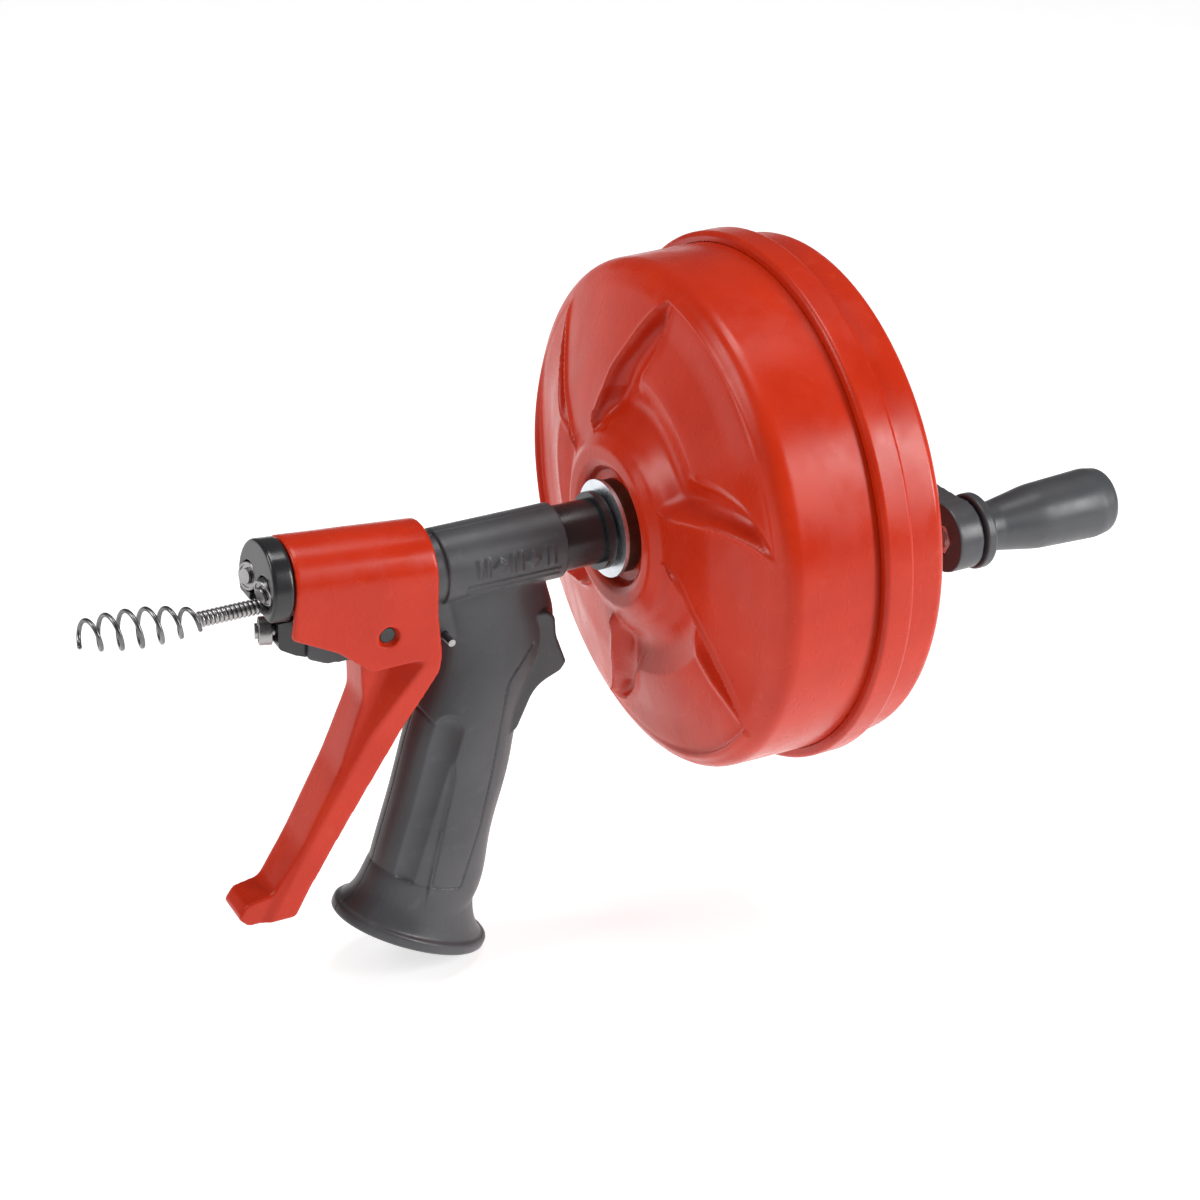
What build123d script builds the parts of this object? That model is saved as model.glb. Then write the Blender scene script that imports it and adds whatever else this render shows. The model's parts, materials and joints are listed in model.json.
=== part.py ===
from build123d import *
import math
import os

# Hand-held drain cleaner with a squeeze-lever cable feed.
# Millimetres.  The spin axis is X: the nose points to -X and the crank to +X.
# The origin is on the spin axis, at the root of the drive shank behind the drum.
# +Z is up and the grip hangs down.

FIT = 0.05                      # radial clearance of a shaft in its bearing

# Cable and auger head
CABLE_R = 3.175                 # quarter-inch cable
CABLE_FRONT = -262.0
CABLE_BACK = -64.0
AUGER_FRONT = -308.0
AUGER_WIRE_R = 0.9
AUGER_TURNS = 5.85
AUGER_START = -0.35             # turns before the top where the wire leaves the cable
AUGER_STEPS = 12                # route points in one turn
AUGER_LIFT = 4.5                # the coil bends up by this at its tip

# Barrel
TUBE_FRONT = -221.0
TUBE_BACK = -63.0
TUBE_R = 11.0                   # inside the frame
NECK_FRONT = -118.0
NECK_R = 13.1                   # journal that carries the drum
GUIDE_R = 5.6
GUIDE_BORE_R = 4.2
COLLAR_FRONT = -97.5
COLLAR_BACK = -94.4
COLLAR_R = 15.6

# Frame
BARREL_R = 15.0
BARREL_BACK = -115.0
SADDLE_SEAT_X = -166.0          # the barrel is slimmer ahead of this, under the saddle
SEAT_R = 13.9
FRAME_FRONT = -221.5
WALL = 3.0
CHIN_HALF_WIDTH = 9.0

CHIN = [                        # x, z and corner radius of the keel under the barrel
    (FRAME_FRONT, -6, 0), (FRAME_FRONT, -22.5, 1), (-214, -26.2, 4), (-202, -27.2, 4), (-160, -28, 0),
    (-160, -6, 0),
]
RIB_HEIGHT = 0.6                # raised marks and lines on the barrel
RIB_PAIRS = (-151.5, -137.5, -123.5)
LOZENGES = (-144.5, -130.5)
RIB_LINES = (-4.2, -7.0)

# Grip
GRIP_LEVELS = [                 # height, front, back, width
    (-8.0, -170.0, -113.0, 26.0),
    (-26.0, -166.0, -115.0, 28.5),
    (-44.0, -167.0, -117.5, 31.0),
    (-62.0, -173.5, -126.5, 33.0),
    (-84.0, -179.5, -131.0, 34.0),
    (-108.0, -185.5, -136.0, 34.5),
    (-132.0, -192.0, -141.0, 35.0),
    (-152.0, -199.0, -145.5, 36.0),
    (-180.0, -208.0, -146.0, 38.0),
]
SPUR = [                        # x, z and corner radius of the beak behind the hand's web
    (-140, -24, 0), (-118.5, -24, 6), (-117.5, -36, 14), (-112.5, -49.5, 2), (-115, -53, 3),
    (-126, -57.5, 14), (-133, -74, 0), (-140, -80, 0),
]
SPUR_HALF_WIDTH = 12.0
FINGER_AREA = [                 # x, z and corner radius of the lowered front part of the grip's sides
    (-190, -45, 0), (-178.8, -53.4, 5), (-165.8, -70, 14), (-163.2, -86, 20), (-168.5, -111.4, 0),
    (-175.5, -146, 0), (-240, -146, 0), (-240, -45, 0),
]
FINGER_DEPTH = 1.3
PANEL = [                       # x, z and corner radius of the line round the grip's side panel
    (-127, -30, 0), (-127.6, -36.2, 4), (-139.3, -49.5, 12), (-144.8, -85, 60), (-150.7, -116.6, 60),
    (-159.5, -142, 2), (-173.6, -137, 2), (-168.5, -111.4, 0), (-163.2, -86, 20), (-165.8, -70, 14),
    (-178.8, -53.4, 5), (-190, -45, 0), (-190, -30, 0),
]
PANEL_TOP = -36.0
GROOVE_WIDTH = 1.1
GROOVE_DEPTH = 0.75
FLUTE_R = 10.0                  # hollow along each front corner of the grip
FLUTE_TOP = (-168.0, -66.0)
FLUTE_BOTTOM = (-195.5, -162.0)
FLUTE_Y = 20.1

# Foot of the grip
FOOT_CENTRE = (-173.0, -160.2)
FOOT_LENGTH = 72.0
FOOT_WIDTH = 47.0
FOOT_THICKNESS = 5.5
FOOT_SLOPE = 26.0               # degrees, front edge high
FLARE = [                       # height over the foot, shift to the front, half length, half width
    (-1.0, 0.4, 34.6, 22.2), (2.5, 1.2, 31.2, 20.3), (7.0, 2.4, 28.4, 18.6), (13.0, 3.9, 26.4, 17.4),
    (20.0, 5.6, 24.6, 16.4),
]

# Screws that close the frame
SCREW_PLACES = [(-158.0, -31.0), (-132.0, -40.0), (-152.0, -74.0), (-158.0, -105.0), (-167.0, -138.0)]
SCREW_R = 1.5
SCREW_HEAD_R = 3.0
SCREW_DEPTH = 9.0               # from the grip's plane to the underside of the screw heads
BOSS_R = 4.2

# Squeeze lever and nose jaw
PIVOT_X = -192.0
PIVOT_Z = -15.6
PIVOT_R = 3.0
OPEN_ANGLE = 5.5                # degrees that the released saddle tips up at the nose
SADDLE_FRONT = -231.0
SADDLE_BACK = -171.0
SADDLE_R = 17.3
SADDLE_WALL = 2.7
SADDLE_AXIS_Z = 5.1             # centre of the saddle's arch with the lever squeezed
JAW_FRONT = -240.7
JAW_BACK = -232.2
JAW_R = 17.0
LOWER_JAW_FRONT = -232.8
LEVER_SIDE = [                  # x, z and corner radius of the released lever seen from its side
    (-227.6, 30, 0), (-231.3, -7.6, 2), (-213.0, -17.5, 5), (-199.5, -29, 6), (-198.6, -47, 14),
    (-209.0, -76, 60), (-225.0, -108, 60), (-237.0, -126.8, 5), (-247.6, -128.6, 2), (-251.5, -134.3, 2),
    (-247.5, -138.6, 2), (-228.0, -139.2, 3), (-221.8, -127, 12), (-205.6, -98.3, 80), (-186.5, -65.5, 60),
    (-175.5, -46, 20), (-170.4, -36.6, 8), (-169.6, -28, 15), (-171.5, -10, 20), (-171.5, 30, 0),
]
LEVER_FRONT = [                 # y, z and corner radius of the lever seen from the nose
    (-SADDLE_R, 30, 0), (-SADDLE_R, -33, 12), (-12.6, -62, 30), (-10.2, -112, 20), (-9.2, -150, 0),
    (9.2, -150, 0), (10.2, -112, 20), (12.6, -62, 30), (SADDLE_R, -33, 12), (SADDLE_R, 30, 0),
]
ARM_CORNER = (-199.5, -47.0)    # front of the lever's arm at its top
ARM_LEAN = 26.0                 # degrees of the arm from upright
ARM_SECTION = [                 # distance behind the arm's front, y and corner radius
    (-12, -7.9, 0), (1.5, -7.9, 1), (4.5, -9.2, 5), (13.0, -17.4, 2), (70, -17.4, 0),
    (70, 17.4, 0), (13.0, 17.4, 2), (4.5, 9.2, 5), (1.5, 7.9, 1), (-12, 7.9, 0),
]
LEDGE_Z = -29.5                 # the arm's section holds below this
HOLLOW_BOTTOM = -27.0           # lower end of the lever's hollow with the lever squeezed
CHIN_SLOT = 9.6                 # half width of the slot in the lever for the chin
CHIN_SLOT_BOTTOM = -28.8
PIVOT_RECESS_R = 4.2
PIVOT_RECESS_Y = 15.4
SPRING_POST = (-165.0, -25.7)
SPRING_POST_R = 1.5
SPRING_WIRE_R = 0.75
SPRING_COIL_R = 4.6
SPRING_TURNS = 2.25
SPRING_STEPS = 27               # route points in the coil

# Feed rollers: 4 x 11 ball races, skewed to the cable so that they screw it along
ROLLER_R = 5.5
ROLLER_BORE_R = 2.0
ROLLER_WIDTH = 5.0
ROLLER_SKEW = 18.0
UPPER_ROLLER = (-239.0, 7.4, 9.4)       # with the lever released; the other one mirrors it in Y
LOWER_ROLLER = (-238.0, 0.0, -10.6)

# Drum
DRUM_R = 103.2
DRUM_WALL = 2.5
DRUM_FRONT = -71.0
SHELL_BACK = -20.0
LIP_R = 107.2
LIP_FRONT = -30.6
LIP_BACK = -17.8
COVER_R = 102.8
COVER_FACE = -3.0
COVER_SCREWS = 6
COVER_SCREW_RING = 93.8
DRIVE_SCREWS = 4
DRIVE_SCREW_RING = 15.5
HUB_BORE_R = 16.6
WASHER_FACE = -92.7
WASHER_R = 19.6

# Drive shank and crank
SHANK_FLATS = 9.5               # hexagon across flats
SHANK_END = 27.0
SHANK_FLANGE_R = 22.0
CRANK_RADIUS = 73.0
CRANK_TURN = 6.0                # degrees that the crank stands above level
ARM_FRONT = 17.0
ARM_BACK = 28.0
ARM_WIDTH = 27.0
CRANK_BOSS_R = 15.0
KNOB_BOSS_R = 13.9
KNOB_FRONT = 29.2
KNOB_BACK = 94.5
NUT_FLATS = 11.0
NUT_DEPTH = 4.0
SPINDLE_R = 4.0


def along_x(radius, x_from, x_to, y=0.0, z=0.0):
    """A round bar parallel to X."""
    bar = Rot(0, 90, 0) * Cylinder(radius, x_to - x_from)
    return Pos((x_from + x_to) / 2, y, z) * bar


def along_y(radius, y_from, y_to, x, z):
    """A round bar parallel to Y."""
    bar = Rot(90, 0, 0) * Cylinder(radius, y_to - y_from)
    return Pos(x, (y_from + y_to) / 2, z) * bar


def block(x, y, z):
    """A box from its (low, high) pairs."""
    centre = Pos((x[0] + x[1]) / 2, (y[0] + y[1]) / 2, (z[0] + z[1]) / 2)
    return centre * Box(x[1] - x[0], y[1] - y[0], z[1] - z[0])


def outline(points):
    """A closed line through (a, b, corner radius) points."""
    places = [(a, b) for a, b, _ in points]
    return FilletPolyline(*places, radius=[radius for _, _, radius in points], close=True)


def turned(points):
    """A solid of revolution about X from a closed (x, radius, corner radius) profile."""
    return revolve(make_face(outline(points)), Axis.X, 360)


def side_plate(points, half_width):
    """A plate of a closed (x, z, corner radius) outline, centred on the plane of the grip."""
    return extrude(Plane.XZ * make_face(outline(points)), half_width, both=True)


def front_prism(points, x_from, x_to):
    """A prism along X of a closed (y, z, corner radius) outline."""
    section = Plane(origin=(x_from, 0, 0), x_dir=(0, 1, 0), z_dir=(1, 0, 0))
    return extrude(section * make_face(outline(points)), x_to - x_from)


def hexagon_bar(flats, x_from, x_to, y=0.0, z=0.0):
    """A hexagonal bar along X, two flats level."""
    section = Plane(origin=(x_from, y, z), x_dir=(0, 1, 0), z_dir=(1, 0, 0))
    return extrude(section * RegularPolygon(flats / 2, 6, major_radius=False), x_to - x_from)


def released(shape):
    """Tip a shape from the squeezed place of the lever to the released one."""
    hinge = Pos(PIVOT_X, 0, PIVOT_Z)
    return hinge * Rot(0, OPEN_ANGLE, 0) * hinge.inverse() * shape


# ---------------------------------------------------------------- cable and auger

def auger_route():
    """Helix of the auger head's wire, from the cable's end to the tip."""
    route = []
    count = int(AUGER_TURNS * AUGER_STEPS)
    length = CABLE_FRONT - AUGER_FRONT - AUGER_WIRE_R
    for step in range(count + 1):
        share = step / count
        swell = 2.3 + 4.6 * math.sin(math.pi * (0.12 + 0.70 * share))
        turn = 2 * math.pi * (AUGER_START + AUGER_TURNS * share)
        lift = AUGER_LIFT * share
        route.append((CABLE_FRONT - length * share, swell * math.sin(turn), lift + swell * math.cos(turn)))
    return route


def bulb_auger():
    """The open coil head: one wire along a swelling helix."""
    route = auger_route()
    spans = [math.dist(a, b) for a, b in zip(route, route[1:])]
    radii = []
    for before, here, after, left, right in zip(route, route[1:], route[2:], spans, spans[1:]):
        turn = (Vector(*here) - Vector(*before)).get_angle(Vector(*after) - Vector(*here))
        radii.append(0.45 * min(left, right) / math.tan(math.radians(turn / 2)))
    path = FilletPolyline(*route, radius=radii)
    section = Plane(origin=path @ 0, z_dir=path % 0) * Circle(AUGER_WIRE_R)
    return sweep(section, path=path)


def feed_cable():
    return along_x(CABLE_R, CABLE_FRONT + AUGER_WIRE_R, CABLE_BACK)


# ---------------------------------------------------------------- barrel

def barrel_tube():
    """Dark tube clamped in the frame; its neck is the drum's journal, with a groove for the snap ring."""
    tube = along_x(TUBE_R, TUBE_FRONT, NECK_FRONT) + along_x(NECK_R, NECK_FRONT, TUBE_BACK)
    tube -= along_x(GUIDE_R, TUBE_FRONT - 1, TUBE_BACK + 1)
    groove = along_x(NECK_R + 1, TUBE_BACK - 4.0, TUBE_BACK - 2.4) - along_x(NECK_R - 1, -70, -60)
    return tube - groove


def cable_guide():
    """Slippery liner that the cable runs in."""
    liner = along_x(GUIDE_R - FIT, TUBE_FRONT, TUBE_BACK)
    return liner - along_x(GUIDE_BORE_R, TUBE_FRONT - 1, TUBE_BACK + 1)


def neck_collar():
    ring = along_x(COLLAR_R, COLLAR_FRONT, COLLAR_BACK)
    return ring - along_x(NECK_R + FIT, COLLAR_FRONT - 1, COLLAR_BACK + 1)


def hub_washer():
    disc = along_x(WASHER_R, WASHER_FACE, WASHER_FACE + 1.6)
    return disc - along_x(NECK_R + FIT, WASHER_FACE - 1, WASHER_FACE + 3)


def hub_clip():
    """Open snap ring in the journal's groove."""
    ring = along_x(NECK_R + 2.2, TUBE_BACK - 3.9, TUBE_BACK - 2.5)
    ring -= along_x(NECK_R - 1 + FIT, -70, -60)
    return ring - block((-70, -60), (-3, 3), (-20, 0))


# ---------------------------------------------------------------- frame

def grip_section(z, front, back, width):
    """One level slice of the grip: an oval from its front to its back."""
    level = Plane(origin=((front + back) / 2, 0, z))
    return level * Ellipse((back - front) / 2, width / 2)


def grip_body(inset, narrower=0.0):
    """The grip's loft: inset all round for its hollow, or only narrower."""
    slices = []
    for z, front, back, width in GRIP_LEVELS:
        slices.append(grip_section(z, front + inset, back - inset, width - 2 * inset - 2 * narrower))
    return loft(slices)


def at_foot(shape):
    """Carry a shape from the foot's own frame, top face at z = 0, to its place."""
    return Pos(FOOT_CENTRE[0], 0, FOOT_CENTRE[1]) * Rot(0, FOOT_SLOPE, 0) * shape


def foot_plate():
    """Flared oval foot at the grip's end, front edge high."""
    oval = extrude(Ellipse(FOOT_LENGTH / 2, FOOT_WIDTH / 2), FOOT_THICKNESS)
    oval = Pos(0, 0, -FOOT_THICKNESS) * fillet(oval.edges(), 1.8)
    rings = [Pos(-shift, 0, height) * Ellipse(length, width) for height, shift, length, width in FLARE]
    return at_foot(oval + loft(rings))


def above_foot(depth):
    """The space above the foot's top face, starting this far from it."""
    return at_foot(Pos(0, 0, 150 + depth) * Box(300, 80, 300))


def grip_spur():
    """Beak behind the hand's web, under the neck."""
    beak = side_plate(SPUR, SPUR_HALF_WIDTH)
    return fillet(beak.edges().filter_by(GeomType.LINE, reverse=True), 1.2)


def finger_relief():
    """What is taken off the front of the grip's sides, where the fingers lie."""
    area = side_plate(FINGER_AREA, 40)
    return area - grip_body(0, FINGER_DEPTH)


def finger_flutes(radius):
    """Round bars down the two front corners of the grip, that hollow it out there."""
    top = Vector(FLUTE_TOP[0], 0, FLUTE_TOP[1])
    down = Vector(FLUTE_BOTTOM[0], 0, FLUTE_BOTTOM[1]) - top
    bar = Plane(origin=top, z_dir=down) * extrude(Circle(radius), down.length)
    bar += Pos(top) * Sphere(radius)
    return Compound(children=[Pos(0, side * FLUTE_Y, 0) * bar for side in (-1, 1)])


def panel_groove():
    """Shallow line round the grip's side panel, on both sides."""
    face = make_face(outline(PANEL))
    band = face - offset(face, -GROOVE_WIDTH)
    groove = extrude(Plane.XZ * band, 40, both=True) - grip_body(GROOVE_DEPTH)
    return groove & block((-185, -100), (-40, 40), (-170, PANEL_TOP))


def barrel_ribs():
    """Raised bars, lozenges and two long lines on both sides of the barrel."""
    marks = []
    for x in RIB_PAIRS:
        marks.append(block((x - 2.4, x - 0.8), (-20, 20), (-1.2, 6.4)))
        marks.append(block((x + 0.8, x + 2.4), (-20, 20), (-1.2, 6.4)))
    for x in LOZENGES:
        marks.append(Pos(x, 0, 2.6) * Rot(0, 45, 0) * Box(4.2, 40, 4.2))
    for z in RIB_LINES:
        marks.append(block((-158, -119), (-20, 20), (z - 0.5, z + 0.5)))
    skin = along_x(BARREL_R + RIB_HEIGHT, SADDLE_SEAT_X, BARREL_BACK) - along_x(BARREL_R - 1, -170, -110)
    return Compound(children=marks) & skin


def frame_shape():
    """Both frame halves as one hollow body."""
    body = along_x(BARREL_R, SADDLE_SEAT_X, BARREL_BACK) + along_x(SEAT_R, FRAME_FRONT, SADDLE_SEAT_X)
    body += side_plate(CHIN, CHIN_HALF_WIDTH)
    body += barrel_ribs()
    body += grip_body(0) & above_foot(-1.0)
    body += grip_spur()
    body -= finger_relief()
    body -= finger_flutes(FLUTE_R)
    body -= panel_groove()
    body += foot_plate()
    hollow = grip_body(WALL) & block((-230, -100), (-30, 30), (-190, -24)) & above_foot(0.0)
    hollow -= finger_flutes(FLUTE_R + WALL)
    for x, z in SCREW_PLACES:
        hollow -= along_y(BOSS_R, -30, 30, x, z)
    body -= hollow
    body -= along_x(TUBE_R + FIT, FRAME_FRONT - 1, NECK_FRONT)
    body -= along_x(NECK_R + FIT, NECK_FRONT, BARREL_BACK + 5)
    body -= along_y(PIVOT_R + FIT, -30, 30, PIVOT_X, PIVOT_Z)
    body -= jaw_tongue(FIT)
    return body


def frame_left(body):
    """The half on the -Y side; its bosses take the screws."""
    half = body & block((-300, 0), (-60, 0), (-250, 60))
    for x, z in SCREW_PLACES:
        half -= along_y(SCREW_R + FIT, -SCREW_DEPTH, 1, x, z)
    half -= along_y(SPRING_POST_R + FIT, -40, 1, *SPRING_POST)
    return half


def frame_right(body):
    """The half on the +Y side, with the screws' counterbores."""
    half = body & block((-300, 0), (0, 60), (-250, 60))
    for x, z in SCREW_PLACES:
        half -= along_y(SCREW_R + FIT, -1, 40, x, z)
        half -= along_y(SCREW_HEAD_R + 2 * FIT, SCREW_DEPTH, 40, x, z)
    half -= along_y(SPRING_POST_R + FIT, -1, 6, *SPRING_POST)
    return half


def frame_screws():
    """Pan-head screws that close the frame, from the +Y side."""
    screws = []
    for x, z in SCREW_PLACES:
        screw = along_y(SCREW_R, -SCREW_DEPTH + 0.5, SCREW_DEPTH, x, z)
        screw += along_y(SCREW_HEAD_R, SCREW_DEPTH, SCREW_DEPTH + 2.2, x, z)
        for tilt in (0, 90):
            slot = Pos(x, SCREW_DEPTH + 2.2, z) * Rot(0, tilt, 0) * Box(3.4, 1.6, 0.8)
            screw -= slot
        screws.append(screw)
    return Compound(children=screws)


# ---------------------------------------------------------------- lower jaw

def jaw_tongue(clearance):
    """Key of the lower jaw that the two frame halves close round."""
    wide = 5.0 + clearance
    height = (-20.5 - clearance, -14.6 + clearance)
    return block((FRAME_FRONT - 0.5, -208.0 + clearance), (-wide, wide), height)


def lower_jaw():
    """Fixed jaw under the cable: a keel that slides into the chin's nose and holds the lower roller."""
    back = FRAME_FRONT - 0.1
    keel = side_plate([(LOWER_JAW_FRONT, -5.4, 0), (LOWER_JAW_FRONT, -16.2, 3), (-226, -20.5, 4),
                       (back, -22.3, 0), (back, -5.4, 0)], 7.0)
    pocket = lower_roller_axle(ROLLER_R + 0.5, ROLLER_WIDTH + 12.3, -12)
    return keel + jaw_tongue(0) - pocket - lower_roller_axle(ROLLER_BORE_R + FIT, 13)


def lower_roller_axle(radius, length, start=0.0):
    """A bar on the lower roller's skewed axle, from the roller's front face backwards."""
    bar = Pos(0, 0, start + length / 2) * Cylinder(radius, length)
    return Pos(*LOWER_ROLLER) * Rot(0, 0, -ROLLER_SKEW) * Rot(0, 90, 0) * bar


def upper_roller_axle(side, radius, length, start=0.0):
    """The same for an upper roller, whose axle leans along the cable's round.  side is -1 or +1 in Y."""
    x, y, z = UPPER_ROLLER
    bar = Pos(0, 0, start + length / 2) * Cylinder(radius, length)
    swing = math.degrees(math.atan2(z, side * y)) - 90
    return Pos(x, side * y, z) * Rot(swing, 0, 0) * Rot(0, 0, ROLLER_SKEW) * Rot(0, 90, 0) * bar


def race(axle, *place):
    """A ball race on an axle: bored, with a shallow face groove between its rings."""
    ring = axle(*place, ROLLER_R, ROLLER_WIDTH)
    ring = fillet(ring.edges(), 0.5)
    ring -= axle(*place, ROLLER_BORE_R + FIT, ROLLER_WIDTH + 2, -1)
    groove = axle(*place, 4.5, 0.5, -0.1) - axle(*place, 3.2, 0.9, -0.3)
    return ring - groove


def roller_pin(axle, *place):
    """Pin of a feed roller with a low head in front of the race."""
    pin = axle(*place, ROLLER_BORE_R, ROLLER_WIDTH + 5.5, -0.3)
    return pin + axle(*place, 3.0, 1.0, -1.3)


# ---------------------------------------------------------------- squeeze lever

def saddle(radius, bottom, x_from, x_to):
    """An arch over the barrel with straight flanks, tipped as the released lever holds it."""
    arch = along_x(radius, x_from, x_to, 0, SADDLE_AXIS_Z)
    arch += block((x_from, x_to), (-radius, radius), (bottom, SADDLE_AXIS_Z))
    return released(arch)


def arm_prism():
    """A long bar with the arm's cross-section: a narrow front that widens to the flanks."""
    lean = math.radians(ARM_LEAN)
    section = Plane(origin=(ARM_CORNER[0], 0, ARM_CORNER[1]), x_dir=(math.cos(lean), 0, -math.sin(lean)),
                    z_dir=(-math.sin(lean), 0, -math.cos(lean)))
    return extrude(section * make_face(outline(ARM_SECTION)), 130, both=True)


def trigger_lever():
    """Red lever: arch, flanks and arm in one moulding, open inside for the barrel and the chin."""
    body = side_plate(LEVER_SIDE, SADDLE_R + 1) & front_prism(LEVER_FRONT, -260, -160)
    body &= saddle(SADDLE_R, -160, SADDLE_FRONT - 60, SADDLE_BACK + 40)
    body &= released(block((-300, -100), (-30, 30), (-170, SADDLE_AXIS_Z + SADDLE_R)))
    above = body & block((-300, -100), (-40, 40), (LEDGE_Z, 60))
    below = body & block((-300, -100), (-40, 40), (-200, LEDGE_Z)) & arm_prism()
    body = above + below
    body -= saddle(SADDLE_R - SADDLE_WALL, HOLLOW_BOTTOM, SADDLE_FRONT - 30, SADDLE_BACK + 40)
    body -= released(block((-300, -100), (-CHIN_SLOT, CHIN_SLOT), (CHIN_SLOT_BOTTOM, 0)))
    body -= along_y(PIVOT_R + FIT, -30, 30, PIVOT_X, PIVOT_Z)
    body -= along_y(PIVOT_RECESS_R, -30, -PIVOT_RECESS_Y, PIVOT_X, PIVOT_Z)
    body -= along_y(PIVOT_RECESS_R, PIVOT_RECESS_Y, 30, PIVOT_X, PIVOT_Z)
    return body


def nose_jaw():
    """Moving jaw: a thick disc in the saddle's mouth, cut away for the cable and the rollers."""
    disc = along_x(JAW_R, JAW_FRONT, JAW_BACK, 0, SADDLE_AXIS_Z)
    disc = fillet(disc.edges(), 1.2)
    disc += along_x(SADDLE_R - SADDLE_WALL - 0.1, JAW_BACK - 2, JAW_BACK + 5, 0, SADDLE_AXIS_Z)
    disc -= block((JAW_FRONT - 1, JAW_BACK + 20), (-30, 30), (-40, -4.0))
    jaw = released(disc)
    jaw -= block((-250, -215), (-4.4, 4.4), (-12, 5.0)) + along_x(4.4, -250, -215, 0, 5.0)
    for side in (-1, 1):
        jaw -= upper_roller_axle(side, ROLLER_R + 0.5, 12, ROLLER_WIDTH + 0.3 - 12)
        jaw -= upper_roller_axle(side, ROLLER_BORE_R + FIT, 20, 0)
    return jaw


def spring_post():
    """Cross pin behind the lever that the return spring leans on."""
    return along_y(SPRING_POST_R, -15.6, 5.0, *SPRING_POST)


def pivot_pin():
    return along_y(PIVOT_R, -PIVOT_RECESS_Y, PIVOT_RECESS_Y, PIVOT_X, PIVOT_Z)


def lever_spring():
    """Torsion spring round the pivot with a leg back to the post and one down to the lever."""
    route = [(PIVOT_X - 8.0, -12.0, PIVOT_Z - 10.0)]
    for step in range(SPRING_STEPS + 1):
        share = step / SPRING_STEPS
        angle = math.radians(200) + 2 * math.pi * SPRING_TURNS * share
        route.append((PIVOT_X + SPRING_COIL_R * math.cos(angle), -13.4 + 3.0 * share,
                      PIVOT_Z + SPRING_COIL_R * math.sin(angle)))
    route.append((SPRING_POST[0] - 3.0, -10.4, SPRING_POST[1] + 3.0))
    path = FilletPolyline(*route, radius=0.4)
    return sweep(Plane(origin=path @ 0, z_dir=path % 0) * Circle(SPRING_WIRE_R), path=path)


# ---------------------------------------------------------------- drum

def drum_front_shell():
    """Front of the drum: a collared hub, a shallow dome and the rim wall."""
    inner = DRUM_R - DRUM_WALL
    return turned([
        (-85, HUB_BORE_R, 0), (-85, 22.4, 1), (-88.7, 24, 1), (-90, 27, 2), (-90, 32.5, 3), (-87, 37, 6),
        (-82.5, 62, 60), (DRUM_FRONT - 1.5, 94, 20), (DRUM_FRONT + 2, DRUM_R - 0.6, 8),
        (SHELL_BACK, DRUM_R, 0), (SHELL_BACK, inner, 0), (DRUM_FRONT + 5, inner - 0.6, 5),
        (DRUM_FRONT + 1.2, 92, 15), (-79.8, 61, 50), (-84, 36, 4), (-84.5, 32, 2), (-82.0, 27, 1),
        (-82.0, 21.5, 1), (-68.5, 21.5, 0), (-68.5, HUB_BORE_R, 0),
    ])


def hub_bushing():
    """Flanged plain bearing of the drum, pressed into the hub."""
    sleeve = along_x(HUB_BORE_R - FIT, -88, -68.5) + along_x(WASHER_R - 1, -91.0, -85.1)
    return sleeve - along_x(NECK_R + FIT, -95, -60)


def drum_rear_cover():
    """Rear of the drum: a dished disc whose lip wraps the front shell's rim."""
    skirt_r = DRUM_R - 3.5
    cover = turned([
        (COVER_FACE, 8, 0), (COVER_FACE, 26, 2), (COVER_FACE - 5, 34, 4), (COVER_FACE - 5, 78, 6),
        (COVER_FACE + 2, 87, 5), (COVER_FACE + 2.3, COVER_R, 4), (LIP_BACK, COVER_R, 0.8),
        (LIP_BACK, LIP_R, 2), (LIP_FRONT, LIP_R, 2), (LIP_FRONT, DRUM_R + FIT, 0),
        (SHELL_BACK + FIT, DRUM_R + FIT, 0),
        (SHELL_BACK + FIT, skirt_r, 1), (COVER_FACE - 1, skirt_r, 3), (COVER_FACE - 1, 89, 3),
        (COVER_FACE - 8, 80, 5), (COVER_FACE - 8, 33, 4), (COVER_FACE - 4, 27, 2), (COVER_FACE - 4, 8, 0),
    ])
    for x, y, z in ring_places(COVER_SCREWS, COVER_SCREW_RING, COVER_FACE):
        cover += along_x(4.5, SHELL_BACK + 1, COVER_FACE + 1, y, z)
        cover -= along_x(SCREW_R + FIT, SHELL_BACK - 1, COVER_FACE + 5, y, z)
    for x, y, z in ring_places(DRIVE_SCREWS, DRIVE_SCREW_RING, COVER_FACE):
        cover -= along_x(SCREW_R + FIT, -30, 5, y, z)
    return cover


def ring_places(count, radius, x):
    """Places round the spin axis."""
    places = []
    for step in range(count):
        angle = 2 * math.pi * (step + 0.5) / count
        places.append((x, radius * math.cos(angle), radius * math.sin(angle)))
    return places


def screw_x(x_head, y, z, length, head_r=3.0):
    """A pan-head screw that points to -X, with its head's underside at x_head."""
    screw = along_x(SCREW_R, x_head - length, x_head, y, z) + along_x(head_r, x_head, x_head + 2.0, y, z)
    for tilt in (0, 90):
        screw -= Pos(x_head + 2.0, y, z) * Rot(tilt, 0, 0) * Box(1.6, 3.2, 0.8)
    return screw


def drive_shank():
    """Steel hexagon on a flange; the crank or a drill chuck drives the drum by it."""
    shank = hexagon_bar(SHANK_FLATS, 0, SHANK_END) + along_x(7.9, COVER_FACE - 6, 0)
    shank += along_x(SHANK_FLANGE_R, COVER_FACE - 7, COVER_FACE - 4.05)
    shank &= along_x(40, -30, SHANK_END - 1) + along_x(5.0, SHANK_END - 1, SHANK_END)
    for x, y, z in ring_places(DRIVE_SCREWS, DRIVE_SCREW_RING, 0):
        shank -= along_x(SCREW_R + FIT, -30, 5, y, z)
    return shank


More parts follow.
